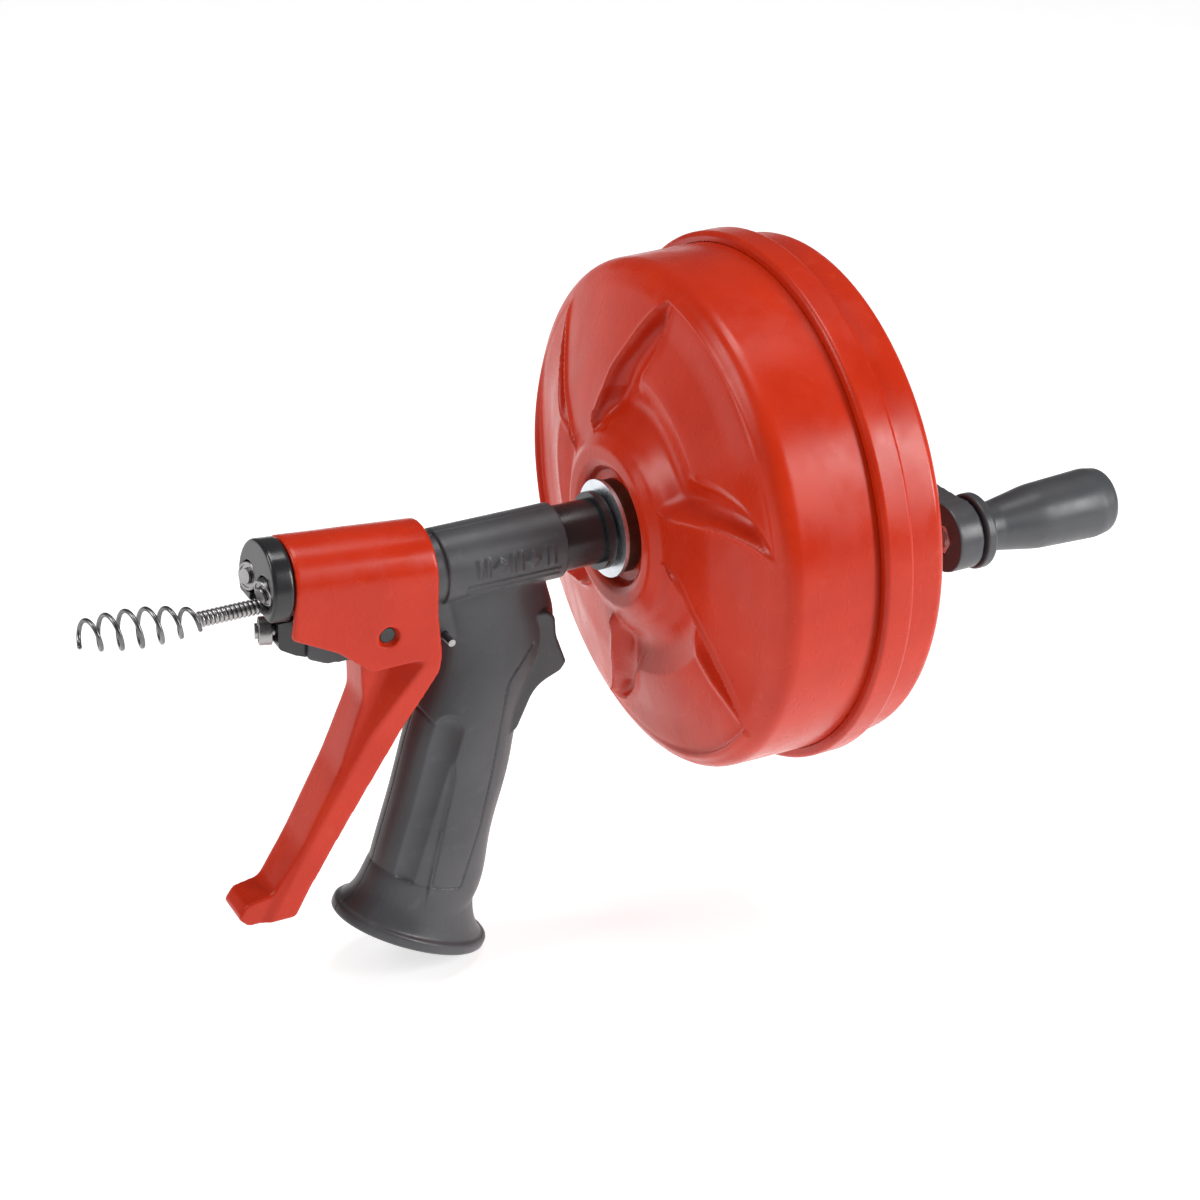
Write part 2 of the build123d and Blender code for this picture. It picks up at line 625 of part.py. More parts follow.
def cable_coil():
    """The stored cable's outer shape: a ring of turns against the drum's wall."""
    return turned([(-58, 79, 6), (-58, 100, 6), (-30, 100, 6), (-30, 79, 6)])


def cable_anchor():
    """Clip that holds the cable's end to the cover."""
    clip = block((-28.5, COVER_FACE - 8.1), (-7, 7), (-74, -62))
    return fillet(clip.edges(), 1.5) - along_x(CABLE_R + FIT, -32, -14, 0, -68)


# ---------------------------------------------------------------- crank

def cranked(shape):
    """Turn a shape about the spin axis, from level on the -Y side to the crank's place."""
    return Rot(-CRANK_TURN, 0, 0) * shape


def crank_arm():
    """Arm with a hexagonal socket at the drum and a boss for the knob's spindle."""
    arm = along_x(CRANK_BOSS_R, 1.0, ARM_BACK)
    arm += along_x(KNOB_BOSS_R, ARM_FRONT, ARM_BACK, -CRANK_RADIUS)
    arm += block((ARM_FRONT, ARM_BACK), (-CRANK_RADIUS, 0), (-ARM_WIDTH / 2, ARM_WIDTH / 2))
    arm -= along_x(SPINDLE_R + FIT, 0, 60, -CRANK_RADIUS)
    arm -= hexagon_bar(NUT_FLATS + 0.2, ARM_FRONT - 1, ARM_FRONT + NUT_DEPTH + 0.2, -CRANK_RADIUS)
    arm = cranked(arm)
    arm -= hexagon_bar(SHANK_FLATS + 0.2, 0, SHANK_END + 0.5)
    return arm - along_x(7.6, 0, 5.0)


def crank_ring():
    """Rubber ring in the socket's mouth that grips the shank."""
    ring = along_x(7.5, 1.2, 4.8)
    return ring - along_x(SHANK_FLATS / math.sqrt(3) + 0.2, 0, 6)


def knob_spindle():
    """Shoulder bolt that the knob turns on, with its head sunk in the knob's end."""
    bolt = along_x(SPINDLE_R, ARM_FRONT - 0.5, KNOB_BACK - 5, -CRANK_RADIUS)
    head = along_x(6.6, KNOB_BACK - 5.4, KNOB_BACK - 2.2, -CRANK_RADIUS)
    bolt = bolt + fillet(head.edges(), 0.8) - hexagon_bar(4, KNOB_BACK - 4.6, KNOB_BACK, -CRANK_RADIUS)
    return cranked(bolt)


def spindle_nut():
    nut = hexagon_bar(NUT_FLATS, ARM_FRONT, ARM_FRONT + NUT_DEPTH, -CRANK_RADIUS)
    return cranked(nut - along_x(SPINDLE_R + FIT, 0, 40, -CRANK_RADIUS))


def crank_knob():
    """Turning knob: a flange, a slim neck and a swelling end."""
    bore = SPINDLE_R + FIT
    knob = turned([
        (KNOB_FRONT, bore, 0), (KNOB_FRONT, 15, 1), (KNOB_FRONT + 4.2, 15, 1.5), (KNOB_FRONT + 6.4, 9.7, 2),
        (KNOB_FRONT + 12, 9.9, 12), (KNOB_FRONT + 30, 12.9, 45), (KNOB_BACK - 8, 14.0, 12),
        (KNOB_BACK, 12.7, 4), (KNOB_BACK, 7.2, 0.5), (KNOB_BACK - 5.8, 7.2, 0), (KNOB_BACK - 5.8, bore, 0),
    ])
    return cranked(Pos(0, -CRANK_RADIUS, 0) * knob)


def build():
    frame = frame_shape()
    return {
        "frame_left": frame_left(frame),
        "frame_right": frame_right(frame),
        "frame_screws": frame_screws(),
        "barrel_tube": barrel_tube(),
        "cable_guide": cable_guide(),
        "neck_collar": neck_collar(),
        "hub_washer": hub_washer(),
        "hub_clip": hub_clip(),
        "lower_jaw": lower_jaw(),
        "lower_roller_pin": roller_pin(lower_roller_axle),
        "lower_roller": race(lower_roller_axle),
        "pivot_pin": pivot_pin(),
        "spring_post": spring_post(),
        "lever_spring": lever_spring(),
        "trigger_lever": trigger_lever(),
        "nose_jaw": nose_jaw(),
        "upper_roller_pins": Compound(children=[roller_pin(upper_roller_axle, side) for side in (-1, 1)]),
        "upper_roller_left": race(upper_roller_axle, -1),
        "upper_roller_right": race(upper_roller_axle, 1),
        "feed_cable": feed_cable(),
        "bulb_auger": bulb_auger(),
        "drum_front_shell": drum_front_shell(),
        "drum_rear_cover": drum_rear_cover(),
        "hub_bushing": hub_bushing(),
        "cover_screws": Compound(children=[screw_x(COVER_FACE + 2.3, y, z, 14)
                                           for x, y, z in ring_places(COVER_SCREWS, COVER_SCREW_RING, 0)]),
        "drive_shank": drive_shank(),
        "drive_screws": Compound(children=[screw_x(COVER_FACE, y, z, 9, 2.8)
                                           for x, y, z in ring_places(DRIVE_SCREWS, DRIVE_SCREW_RING, 0)]),
        "cable_coil": cable_coil(),
        "cable_anchor": cable_anchor(),
        "crank_arm": crank_arm(),
        "crank_ring": crank_ring(),
        "knob_spindle": knob_spindle(),
        "spindle_nut": spindle_nut(),
        "crank_knob": crank_knob(),
    }


def main():
    os.makedirs("parts", exist_ok=True)
    for name, shape in build().items():
        export_step(shape, f"parts/{name}.step")


if __name__ == "__main__":
    main()
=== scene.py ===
import bpy
import bmesh
import json
import math
import numpy as np
from mathutils import Matrix, Vector


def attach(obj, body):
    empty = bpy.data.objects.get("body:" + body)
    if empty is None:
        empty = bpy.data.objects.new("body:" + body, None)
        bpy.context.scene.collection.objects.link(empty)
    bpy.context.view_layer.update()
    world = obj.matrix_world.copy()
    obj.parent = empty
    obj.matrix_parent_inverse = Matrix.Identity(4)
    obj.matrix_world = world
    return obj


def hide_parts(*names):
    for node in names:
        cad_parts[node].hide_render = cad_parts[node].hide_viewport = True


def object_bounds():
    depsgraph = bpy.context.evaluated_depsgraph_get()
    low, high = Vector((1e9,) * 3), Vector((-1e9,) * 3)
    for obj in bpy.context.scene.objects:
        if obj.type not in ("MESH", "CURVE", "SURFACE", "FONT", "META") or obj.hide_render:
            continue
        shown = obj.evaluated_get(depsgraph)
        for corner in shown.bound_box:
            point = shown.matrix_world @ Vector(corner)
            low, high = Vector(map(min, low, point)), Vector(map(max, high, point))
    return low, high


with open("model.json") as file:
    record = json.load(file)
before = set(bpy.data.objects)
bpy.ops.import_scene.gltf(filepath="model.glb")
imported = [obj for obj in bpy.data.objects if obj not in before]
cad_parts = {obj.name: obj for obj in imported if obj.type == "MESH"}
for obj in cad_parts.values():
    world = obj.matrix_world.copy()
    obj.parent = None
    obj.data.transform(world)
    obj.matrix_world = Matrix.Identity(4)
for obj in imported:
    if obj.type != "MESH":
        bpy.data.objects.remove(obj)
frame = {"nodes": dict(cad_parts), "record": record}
cad_low, cad_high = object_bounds()
MM = 0.001
TAU = 2 * math.pi

# Camera: in front of the nose, above it and to its left
VIEW_TARGET = Vector((-0.0950, -0.0052, -0.0291))
VIEW_AZIMUTH = 29.9
VIEW_ELEVATION = 30.26
VIEW_ROLL = 2.77
VIEW_DISTANCE = 1.1832
LENS = 90.0

# Drum front, millimetres: profile as (x, radius, corner radius)
DRUM_PROFILE = [
    (-68.5, 16.6, 0), (-85.0, 16.6, 0.8), (-85.0, 22.4, 1.0), (-88.6, 24.2, 1.2),
    (-89.9, 27.0, 2), (-89.9, 32.2, 3), (-86.6, 37.5, 8), (-82.3, 62, 60), (-72.6, 93.5, 25),
    (-68.2, 102.5, 8), (-20.0, 103.1, 0.5), (-20.0, 100.7, 0.5),
]
DRUM_WALL = 2.5
DRUM_STEP = 0.75                # spacing of the drum mesh's rows
DRUM_SPOKES = 600
DRUM_BORE_CLEAR = 21.0          # the inner surface keeps this far from the axis
DRUM_INNER_END = -22.0          # the inner surface starts in front of this
SWIRL_FACE = -70.0              # only the face in front of this is swirled

# Swirl on the drum's face, millimetres: lobes between raised pads, with a pocket along each edge
SWIRL_TURNS = 3
SWIRL_DEPTH = 5.6
SWIRL_OUTER = 96.4              # the pockets run out at this radius
SWIRL_INNER = 36.5
PAD_FRONT = ([30, 42, 55, 73, 88, 98], [131, 122, 109.5, 98, 91, 86])       # radius, degrees
PAD_BACK = ([30, 38, 55, 73, 88, 96], [34, 31.8, 28, 24, 20, 16.5])
LEAF_WIDTH = 16.0               # widest part of a pocket
LEAF_ROOT = 22.0                # the radius the pockets would narrow to nothing at, towards the hub
LEAF_BULGE = 0.7
LEAF_FADE = 80.0                # the pockets grow shallow beyond this radius
LEAF_BLEND = 0.25               # rounding where two pockets' slopes meet, as a share of their width
HUB_VALLEY = 25.0
CRISP = (50.0, 68.0)            # the pockets' walls turn from soft to crisp between these radii
LOBE_DROP = 0.24                # how deep the lobes lie, as a share of the pockets
BEAD_HEIGHT = 1.3               # raised line along the pads' edges
BEAD_WIDTH = 1.7
BEAD_START = (38.0, 48.0)       # the lines rise between these radii
CLOSE_RADIUS = 43.0             # a low ridge closes the pockets here, towards the hub
CLOSE_HEIGHT = 1.5
CLOSE_LENGTH = 13.0
CLOSE_WIDTH = 4.5
RIM_DROP = 0.5                  # step at the lobes' outer edge, in the part near the pad's back
RIM_STEP = 1.7                  # what is added to it near the next pad's front
RIM_WIDTH = 2.2
RIM_LINE = 0.9                  # height of the rim's raised line, as a share of the others

# Cable and coil tip
CABLE_FRONT = -262.0
CABLE_BACK = -64.0
CABLE_R = 3.12
CABLE_WIRE_R = 0.85
CABLE_PITCH = 1.78
TIP_FRONT = -308.0
TIP_WIRE_R = 0.88
TIP_TURNS = 5.85
TIP_START = -0.35
TIP_LIFT = 4.5
CORE_R = 2.2                    # plain core inside the winding
STORED_LAYERS = (96.8, 90.4, 84.0)
STORED_FRONT = -54.2
STORED_BACK = -34.0
STORED_TURNS = 3.15             # in each layer
STORED_R = 3.1

# Studio, metres and watts: lamps as name, place, size and power
SENSOR_WIDTH = 36.0
FLOOR_SIDE = 6.0
FLOOR_GAP = 0.0005
FLOOR_GLOW = 0.58
WORLD_GLOW = 0.13
LAMP_TARGET = (-0.12, 0.0, -0.03)
LAMPS = [
    ("left", (-1.25, 0.25, 0.8), (0.5, 0.9), 9.5),
    ("top", (0.15, 0.1, 1.5), (0.6, 0.8), 10.0),
    ("right", (0.95, -1.15, 0.65), (0.3, 0.9), 19.0),
]

# CAD nodes whose hard edges are eased: voxel size in millimetres, smoothing rounds
SOFT_NODES = {
    "trigger_lever": (0.55, 14),
    "frame_left": (0.45, 4),
    "frame_right": (0.45, 4),
    "nose_jaw": (0.35, 5),
    "crank_arm": (0.5, 8),
}
SHADE_PAINTED_NODES = ("pivot_pin",)      # painted shade: the pin gets dark plastic in place of its own material, standing for the shadow deep in its recess

# Plastics: two base colours, rubbed colour, roughness, grain per metre, its depth and specular level
PLASTICS = {
    "red_plastic": ((0.50, 0.022, 0.004), (0.58, 0.030, 0.006), (0.64, 0.065, 0.022),
                    0.27, 2200.0, 0.00002, 0.28),
    "grey_plastic": ((0.056, 0.058, 0.063), (0.074, 0.076, 0.082), (0.12, 0.12, 0.125),
                     0.38, 1700.0, 0.00008, 0.4),
    "dark_plastic": ((0.014, 0.014, 0.016), (0.022, 0.022, 0.024), (0.05, 0.05, 0.052),
                     0.22, 2500.0, 0.00002, 0.5),
    "liner_plastic": ((0.62, 0.61, 0.56), (0.70, 0.69, 0.64), (0.75, 0.74, 0.7),
                      0.4, 2500.0, 0.00003, 0.5),
    "rubber": ((0.012, 0.012, 0.012), (0.02, 0.02, 0.02), (0.04, 0.04, 0.04),
               0.7, 1500.0, 0.00008, 0.5),
    "floor": ((0.86, 0.86, 0.86), (0.88, 0.88, 0.88), (0.88, 0.88, 0.88),
              0.6, 300.0, 0.0001, 0.5),
}

# Metals: two colours and roughness
METALS = {
    "zinc": ((0.66, 0.70, 0.74), (0.80, 0.84, 0.88), 0.34),
    "steel": ((0.30, 0.29, 0.29), (0.44, 0.43, 0.43), 0.33),
    "spring_steel": ((0.13, 0.13, 0.135), (0.24, 0.24, 0.245), 0.32),
    "bearing_bronze": ((0.10, 0.075, 0.055), (0.16, 0.12, 0.085), 0.45),
}


# ---------------------------------------------------------------- mesh helpers

def piece(name, mesh, body, replaced, material):
    """Adds a mesh to the scene in place of CAD nodes, riding on their body."""
    made = bpy.data.objects.new(name, mesh)
    bpy.context.scene.collection.objects.link(made)
    mesh.materials.clear()
    mesh.materials.append(material)
    mesh.polygons.foreach_set("use_smooth", [True] * len(mesh.polygons))
    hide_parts(*replaced)
    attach(made, body)
    return made


def rounded(points, steps=8):
    """The open line through (a, b, corner radius) points with its corners turned into arcs."""
    line = [np.array(points[0][:2], float)]
    for before, here, after in zip(points, points[1:], points[2:]):
        corner, radius = np.array(here[:2], float), here[2]
        to_back = np.array(before[:2]) - corner
        to_front = np.array(after[:2]) - corner
        back, front = np.linalg.norm(to_back), np.linalg.norm(to_front)
        to_back, to_front = to_back / back, to_front / front
        half = math.acos(max(-1.0, min(1.0, float(to_back @ to_front)))) / 2
        reach = radius / math.tan(half)
        limit = 0.49 * min(back, front)
        if reach > limit:
            reach, radius = limit, limit * math.tan(half)
        if radius <= 0:
            line.append(corner)
            continue
        inward = (to_back + to_front) / np.linalg.norm(to_back + to_front)
        centre = corner + inward * radius / math.sin(half)
        start, end = corner + to_back * reach - centre, corner + to_front * reach - centre
        sweep = math.atan2(start[0] * end[1] - start[1] * end[0], float(start @ end))
        for step in range(steps + 1):
            turn = sweep * step / steps
            line.append(centre + np.array([start[0] * math.cos(turn) - start[1] * math.sin(turn),
                                           start[0] * math.sin(turn) + start[1] * math.cos(turn)]))
    line.append(np.array(points[-1][:2], float))
    return np.array(line)


def resampled(line, spacing):
    """The same line with evenly spaced points."""
    spans = np.linalg.norm(np.diff(line, axis=0), axis=1)
    along = np.concatenate([[0.0], np.cumsum(spans)])
    count = max(2, int(round(along[-1] / spacing)) + 1)
    wanted = np.linspace(0, along[-1], count)
    return np.stack([np.interp(wanted, along, line[:, axis]) for axis in (0, 1)], axis=1)


def grid_mesh(name, rows, wrap_rows=False):
    """A mesh of quads over a grid of points (rows, columns, xyz), closed round its columns."""
    count, width = rows.shape[:2]
    index = np.arange(count * width).reshape(count, width)
    below = np.roll(index, -1, axis=0) if wrap_rows else index[1:]
    above = index if wrap_rows else index[:-1]
    quads = np.stack([above, below, np.roll(below, -1, axis=1), np.roll(above, -1, axis=1)], axis=-1)
    mesh = bpy.data.meshes.new(name)
    mesh.from_pydata((rows.reshape(-1, 3) * MM).tolist(), [], quads.reshape(-1, 4).tolist())
    outward(mesh)
    return mesh


def outward(mesh):
    """Turns the faces of a closed mesh outwards."""
    work = bmesh.new()
    work.from_mesh(mesh)
    bmesh.ops.recalc_face_normals(work, faces=work.faces)
    work.to_mesh(mesh)
    work.free()


def wire_mesh(name, route, radius, sides=10):
    """A round wire along a route of points, closed with rounded ends."""
    route = np.asarray(route, float)
    ahead = np.gradient(route, axis=0)
    ahead /= np.linalg.norm(ahead, axis=1)[:, None]
    side = np.cross(ahead, [1.0, 0.0, 0.0])
    side /= np.linalg.norm(side, axis=1)[:, None]
    up = np.cross(side, ahead)
    turn = np.linspace(0, TAU, sides, endpoint=False)
    ring = side[:, None] * np.cos(turn)[:, None] + up[:, None] * np.sin(turn)[:, None]
    rows = route[:, None] + radius * ring
    caps = []
    for end, sign in ((0, -1), (-1, 1)):
        for share in (0.5, 0.85, 0.99):
            caps.append(route[end] + sign * ahead[end] * radius * share * 0.8
                        + radius * math.sqrt(1 - share ** 2) * ring[end])
    rows = np.concatenate([np.array(caps[2::-1]), rows, np.array(caps[3:])])
    mesh = grid_mesh(name, rows)
    work = bmesh.new()
    work.from_mesh(mesh)
    bmesh.ops.holes_fill(work, edges=[edge for edge in work.edges if edge.is_boundary])
    work.to_mesh(mesh)
    work.free()
    outward(mesh)
    return mesh


def joined(name, meshes):
    """One mesh of several."""
    work = bmesh.new()
    for mesh in meshes:
        work.from_mesh(mesh)
    made = bpy.data.meshes.new(name)
    work.to_mesh(made)
    work.free()
    return made


def softened(node, voxel, rounds):
    """A fine even mesh of a CAD node with its hard edges eased."""
    source = frame["nodes"][node]
    copy = bpy.data.objects.new(node + "_work", source.data.copy())
    bpy.context.scene.collection.objects.link(copy)
    weld = copy.modifiers.new("weld", "WELD")
    weld.merge_threshold = 0.00001
    remesh = copy.modifiers.new("remesh", "REMESH")
    remesh.mode = "VOXEL"
    remesh.voxel_size = voxel * MM
    smooth = copy.modifiers.new("smooth", "SMOOTH")
    smooth.factor = 0.5
    smooth.iterations = rounds
    bpy.context.view_layer.update()
    graph = bpy.context.evaluated_depsgraph_get()
    mesh = bpy.data.meshes.new_from_object(copy.evaluated_get(graph))
    bpy.data.objects.remove(copy)
    return mesh


# ---------------------------------------------------------------- drum front

def eased(low, high, value):
    """0 before low, 1 past high, with a smooth change between them."""
    share = np.clip((value - low) / (high - low), 0, 1)
    return share * share * (3 - 2 * share)


def least(a, b, blend):
    """The smaller of two fields, with a rounded change from one to the other."""
    share = np.clip(0.5 + 0.5 * (b - a) / blend, 0, 1)
    return b * (1 - share) + a * share - blend * share * (1 - share)


def lobe_edges(radius, degrees, turn):
    """Distances round the drum from a lobe's front and back edges, and degrees off its middle."""
    front = np.interp(radius, *PAD_FRONT) + 360 / SWIRL_TURNS * turn
    back = np.interp(radius, *PAD_BACK) + 360 / SWIRL_TURNS * turn
    off = (degrees - (front + back) / 2 + 180) % 360 - 180
    half = (front - back) / 2
    return np.radians(half - off) * radius, np.radians(half + off) * radius, off


def raised_lines(radius, from_front, from_back, near, rise):
    """Height of the raised lines along a lobe's edges; near is where this lobe is the closest."""
    reach = eased(*BEAD_START, radius) * eased(SWIRL_OUTER + 1, SWIRL_OUTER - 6, radius)
    height = BEAD_HEIGHT * rise
    for edge in (from_front, from_back):
        height = height + BEAD_HEIGHT * np.exp(-(edge / BEAD_WIDTH) ** 2) * reach * near
    return height


def closing_ridge(radius, from_front, from_back):
    """Height of the low ridge between a lobe's pockets and the hub."""
    ring = np.exp(-((radius - CLOSE_RADIUS) / CLOSE_WIDTH) ** 2)
    ends = [np.exp(-(edge / CLOSE_LENGTH) ** 2) for edge in (from_front, from_back)]
    return CLOSE_HEIGHT * (ends[0] + ends[1]) * ring


def with_lobe(depth, radius, degrees, turn):
    """The face's depth with one hollowed lobe added."""
    from_front, from_back, off = lobe_edges(radius, degrees, turn)
    span = np.clip((SWIRL_OUTER - radius) / (SWIRL_OUTER - LEAF_ROOT), 0.001, 1)
    leaf = LEAF_WIDTH * np.sin(math.pi * span) ** LEAF_BULGE
    fade = 1 - eased(LEAF_FADE, SWIRL_OUTER, radius)
    crisp = eased(*CRISP, radius)
    side = least(from_front / leaf, from_back / leaf, LEAF_BLEND)
    share = least(side, (radius - SWIRL_INNER) / HUB_VALLEY, LEAF_BLEND)
    inside = share > 0
    share = np.clip(share, 0, 1)
    pocket = crisp * np.sin(math.pi * share) + (1 - crisp) * np.sin(math.pi * share) ** 2
    hollow = pocket + LOBE_DROP * eased(0.45, 1.0, share)
    upper = eased(0.25, 0.75, from_back / (from_front + from_back + 0.001))
    step = (RIM_DROP + RIM_STEP * upper) * eased(0, 0.15, share)
    step = step * eased(SWIRL_OUTER, SWIRL_OUTER - RIM_WIDTH, radius)
    crest = np.exp(-((side - 1) * leaf / BEAD_WIDTH) ** 2) * crisp * fade * inside
    rim = RIM_LINE * np.exp(-((radius - SWIRL_OUTER - 0.4) / BEAD_WIDTH) ** 2) * upper * inside
    depth = np.where(inside, hollow * SWIRL_DEPTH * fade + step, depth)
    depth = depth - closing_ridge(radius, from_front, from_back) * inside
    return depth - raised_lines(radius, from_front, from_back, np.abs(off) < 90, crest + rim)


def swirl(radius, degrees):
    """How far the drum's face lies behind its plain dome."""
    depth = np.zeros_like(radius)
    for turn in range(SWIRL_TURNS):
        depth = with_lobe(depth, radius, degrees, turn)
    return depth


def drum_front(material):
    """Front of the drum: its turned profile with the swirl, and the inner surface of its wall."""
    profile = resampled(rounded(DRUM_PROFILE), DRUM_STEP)
    slope = np.gradient(profile, axis=0)
    slope /= np.linalg.norm(slope, axis=1)[:, None]
    inner = profile[::-1] + DRUM_WALL * np.stack([slope[::-1, 1], -slope[::-1, 0]], axis=1)
    inner[:, 1] = np.maximum(inner[:, 1], DRUM_BORE_CLEAR)
    inner = inner[inner[:, 0] < DRUM_INNER_END]
    moved_on = np.linalg.norm(np.diff(inner, axis=0), axis=1) > 0.01
    inner = inner[np.concatenate([[True], moved_on])]
    rows = []
    turn = np.linspace(0, 360, DRUM_SPOKES, endpoint=False)
    for line in (profile, inner):
        radius = np.repeat(line[:, 1:2], DRUM_SPOKES, axis=1)
        back = swirl(radius, np.repeat(turn[None], len(line), axis=0))
        on_face = (line[:, 0] < SWIRL_FACE) & (line[:, 1] > SWIRL_INNER - 1)
        x = line[:, 0:1] + back * on_face[:, None]
        angle = np.radians(turn)
        rows.append(np.stack([x, -radius * np.cos(angle), radius * np.sin(angle)], axis=-1))
    mesh = grid_mesh("drum_front", np.concatenate(rows), wrap_rows=True)
    return piece("drum_front", mesh, "drum", ["drum_front_shell"], material)


# ---------------------------------------------------------------- wires

def helix(x_from, x_to, radius, turns, steps, start=0.0, lift=0.0):
    """Right-handed turns towards the nose; radius is a number or a function of the share of the way."""
    share = np.linspace(0, 1, int(abs(turns) * steps) + 1)
    reach = radius(share) if callable(radius) else np.full_like(share, radius)
    angle = TAU * (start + turns * share)
    along = x_from + (x_to - x_from) * share
    return np.stack([along, reach * np.sin(angle), lift * share + reach * np.cos(angle)], axis=1)


def cable(material):
    """Close-wound cable: one wire in tight turns over a core."""
    front, back = CABLE_FRONT + CABLE_WIRE_R, CABLE_BACK - CABLE_WIRE_R
    turns = (back - front) / CABLE_PITCH
    wound = wire_mesh("wound", helix(back, front, CABLE_R - CABLE_WIRE_R, turns, 28), CABLE_WIRE_R, 9)
    route = [(x, 0.0, 0.0001 * x) for x in np.linspace(back + 0.5, front + 1.5, 12)]
    core = wire_mesh("core", route, CORE_R, 20)
    return piece("cable", joined("cable", [wound, core]), "cable", ["feed_cable"], material)


def coil_tip(material):
    """Open coil head on the cable's end, widest near its middle."""
    def swell(share):
        return 2.3 + 4.6 * np.sin(math.pi * (0.12 + 0.70 * share))
    route = helix(CABLE_FRONT, TIP_FRONT + TIP_WIRE_R, swell, TIP_TURNS, 40, TIP_START, TIP_LIFT)
    mesh = wire_mesh("coil_tip", route, TIP_WIRE_R, 12)
    return piece("coil_tip", mesh, "cable", ["bulb_auger"], material)


def stored_cable(material):
    """Layers of turns wound inside the drum's wall."""
    layers = []
    for radius in STORED_LAYERS:
        route = helix(STORED_BACK, STORED_FRONT, radius, STORED_TURNS, 90)
        layers.append(wire_mesh("layer", route, STORED_R, 12))
    mesh = joined("stored_cable", layers)
    return piece("stored_cable", mesh, "drum", ["cable_coil"], material)


# ---------------------------------------------------------------- studio

def camera():
    """The view: in front of the nose, above it and to its left."""
    azimuth, elevation = math.radians(VIEW_AZIMUTH), math.radians(VIEW_ELEVATION)
    back = Vector((-math.sin(azimuth) * math.cos(elevation), -math.cos(azimuth) * math.cos(elevation),
                   math.sin(elevation)))
    data = bpy.data.cameras.new("camera")
    data.lens = LENS
    data.sensor_width = SENSOR_WIDTH
    data.clip_end = 50.0
    eye = bpy.data.objects.new("camera", data)
    roll = Matrix.Rotation(math.radians(VIEW_ROLL), 4, "Z")
    turn = back.to_track_quat("Z", "Y").to_matrix().to_4x4() @ roll
    eye.matrix_world = Matrix.Translation(VIEW_TARGET + back * VIEW_DISTANCE) @ turn
    bpy.context.scene.collection.objects.link(eye)
    bpy.context.scene.camera = eye


def floor(material):
    """Pale floor that glows faintly, as a light table does."""
    surface = material.node_tree.nodes["Principled BSDF"]
    surface.inputs["Emission Color"].default_value = (1.0, 1.0, 1.0, 1.0)
    surface.inputs["Emission Strength"].default_value = FLOOR_GLOW
    z = cad_low.z - FLOOR_GAP
    corners = [(x * FLOOR_SIDE, y * FLOOR_SIDE, z) for x, y in ((-1, -1), (1, -1), (1, 1), (-1, 1))]
    mesh = bpy.data.meshes.new("floor")
    mesh.from_pydata(corners, [], [(0, 1, 2, 3)])
    mesh.materials.append(material)
    plane = bpy.data.objects.new("floor", mesh)
    bpy.context.scene.collection.objects.link(plane)


def area_light(name, place, size, power):
    """Soft box turned towards the middle of the tool."""
    data = bpy.data.lights.new(name, "AREA")
    data.shape = "RECTANGLE"
    data.size, data.size_y = size
    data.energy = power
    lamp = bpy.data.objects.new(name, data)
    lamp.location = place
    lamp.rotation_euler = (Vector(place) - Vector(LAMP_TARGET)).to_track_quat("Z", "Y").to_euler()
    bpy.context.scene.collection.objects.link(lamp)


def studio():
    """Soft boxes left of the nose, overhead and to the right, in a dim white surround."""
    world = bpy.data.worlds.new("studio")
    world.use_nodes = True
    background = world.node_tree.nodes["Background"]
    background.inputs["Color"].default_value = (1.0, 1.0, 1.0, 1.0)
    background.inputs["Strength"].default_value = WORLD_GLOW
    bpy.context.scene.world = world
    for lamp in LAMPS:
        area_light(*lamp)
    bpy.context.scene.view_settings.view_transform = "Standard"


# ---------------------------------------------------------------- materials

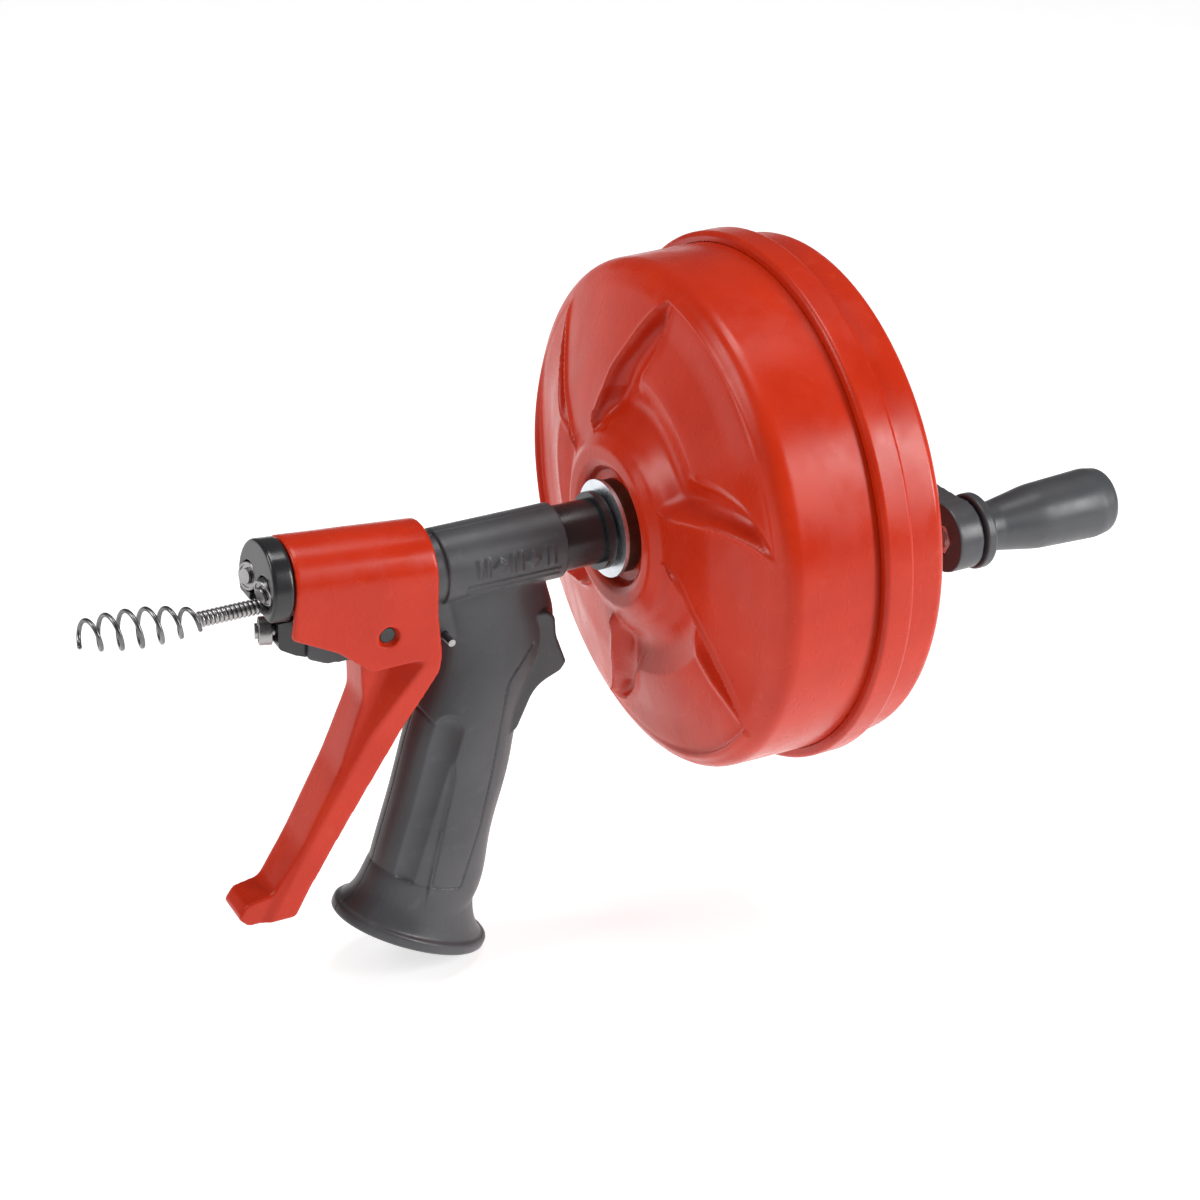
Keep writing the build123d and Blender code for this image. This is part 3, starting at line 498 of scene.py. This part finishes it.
class Shader:
    """A principled material built node by node."""

    def __init__(self, name):
        self.material = bpy.data.materials.new(name)
        self.material.use_nodes = True
        self.nodes = self.material.node_tree.nodes
        self.links = self.material.node_tree.links
        self.surface = self.nodes["Principled BSDF"]
        self.place = self.nodes.new("ShaderNodeTexCoord").outputs["Object"]
        self.normal = None

    def noise(self, scale, detail=3.0, stretch=None):
        """Noise in object space, in cycles per metre; stretch squeezes it along the axes."""
        made = self.nodes.new("ShaderNodeTexNoise")
        made.inputs["Scale"].default_value = scale
        made.inputs["Detail"].default_value = detail
        source = self.place
        if stretch:
            mapping = self.nodes.new("ShaderNodeMapping")
            mapping.inputs["Scale"].default_value = stretch
            self.links.new(source, mapping.inputs["Vector"])
            source = mapping.outputs["Vector"]
        self.links.new(source, made.inputs["Vector"])
        return made.outputs["Fac"]

    def ranged(self, source, low, high, at=(0.0, 1.0)):
        """Maps a factor's range to low...high."""
        made = self.nodes.new("ShaderNodeMapRange")
        made.inputs["From Min"].default_value, made.inputs["From Max"].default_value = at
        made.inputs["To Min"].default_value, made.inputs["To Max"].default_value = low, high
        self.links.new(source, made.inputs["Value"])
        return made.outputs["Result"]

    def mixed(self, share, first, second):
        """Colour between two colours or outputs."""
        made = self.nodes.new("ShaderNodeMix")
        made.data_type = "RGBA"
        sockets = (made.inputs[0], made.inputs[6], made.inputs[7])
        for socket, value in zip(sockets, (share, first, second)):
            if isinstance(value, tuple):
                socket.default_value = (*value, 1.0)
            else:
                self.links.new(value, socket)
        return made.outputs[2]

    def bump(self, height, strength, distance):
        """Lays a bump over the ones already there."""
        made = self.nodes.new("ShaderNodeBump")
        made.inputs["Strength"].default_value = strength
        made.inputs["Distance"].default_value = distance
        self.links.new(height, made.inputs["Height"])
        if self.normal:
            self.links.new(self.normal, made.inputs["Normal"])
        self.normal = made.outputs["Normal"]
        self.links.new(self.normal, self.surface.inputs["Normal"])

    def wear(self):
        """Patches where handling has rubbed the surface."""
        return self.ranged(self.noise(130.0, 8.0), 0.0, 0.35, (0.6, 0.8))

    def colour(self, source):
        self.links.new(source, self.surface.inputs["Base Color"])

    def roughness(self, source):
        self.links.new(source, self.surface.inputs["Roughness"])


def moulded(name, dark, light, worn, rough, grain, grain_depth, shine):
    """Moulded plastic: slight mottle, fine grain, rubbed patches and faint handling marks."""
    sh = Shader(name)
    mottle = sh.noise(38.0, 5.0)
    base = sh.mixed(sh.ranged(mottle, 0.0, 1.0, (0.3, 0.7)), dark, light)
    sh.colour(sh.mixed(sh.wear(), base, worn))
    smear = sh.noise(90.0, 6.0, (1.0, 1.0, 0.35))
    sh.roughness(sh.ranged(smear, rough - 0.07, rough + 0.09, (0.3, 0.7)))
    sh.surface.inputs["Specular IOR Level"].default_value = shine
    sh.bump(sh.noise(grain, 2.0), 0.3, grain_depth)
    sh.bump(sh.noise(22.0, 1.0), 0.15, 0.0003)
    return sh.material


def metal(name, dark, light, rough):
    """Bare metal with fine scratches and uneven polish."""
    sh = Shader(name)
    stain = sh.noise(120.0, 5.0)
    sh.colour(sh.mixed(sh.ranged(stain, 0.0, 1.0, (0.3, 0.7)), dark, light))
    scratch = sh.noise(1500.0, 4.0)
    sh.roughness(sh.ranged(scratch, rough - 0.08, rough + 0.12, (0.3, 0.7)))
    sh.surface.inputs["Metallic"].default_value = 1.0
    sh.bump(scratch, 0.3, 0.00003)
    return sh.material


def materials():
    """Every material by its name."""
    made = {name: moulded(name, *values) for name, values in PLASTICS.items()}
    made.update({name: metal(name, *values) for name, values in METALS.items()})
    return made


# ---------------------------------------------------------------- assembly

paint = materials()
slots = {row["node"]: row["material_slot"] for row in frame["record"]["subparts"]}
bodies = frame["record"]["behaviour"]["bodies"]
body_of = {node: body for body, nodes in bodies.items() for node in nodes}
for name, obj in frame["nodes"].items():
    obj.data.materials.clear()
    # painted shade: nodes in the shade-painted list get dark plastic in place of their own material,
    # standing for the shadow they sit in
    obj.data.materials.append(paint["dark_plastic" if name in SHADE_PAINTED_NODES else slots[name]])

for node, (voxel, rounds) in SOFT_NODES.items():
    slot = slots[node]
    piece(node + "_skin", softened(node, voxel, rounds), body_of[node], [node], paint[slot])
drum_front(paint["red_plastic"])
cable(paint["steel"])
coil_tip(paint["spring_steel"])
stored_cable(paint["steel"])

camera()
studio()
floor(paint["floor"])
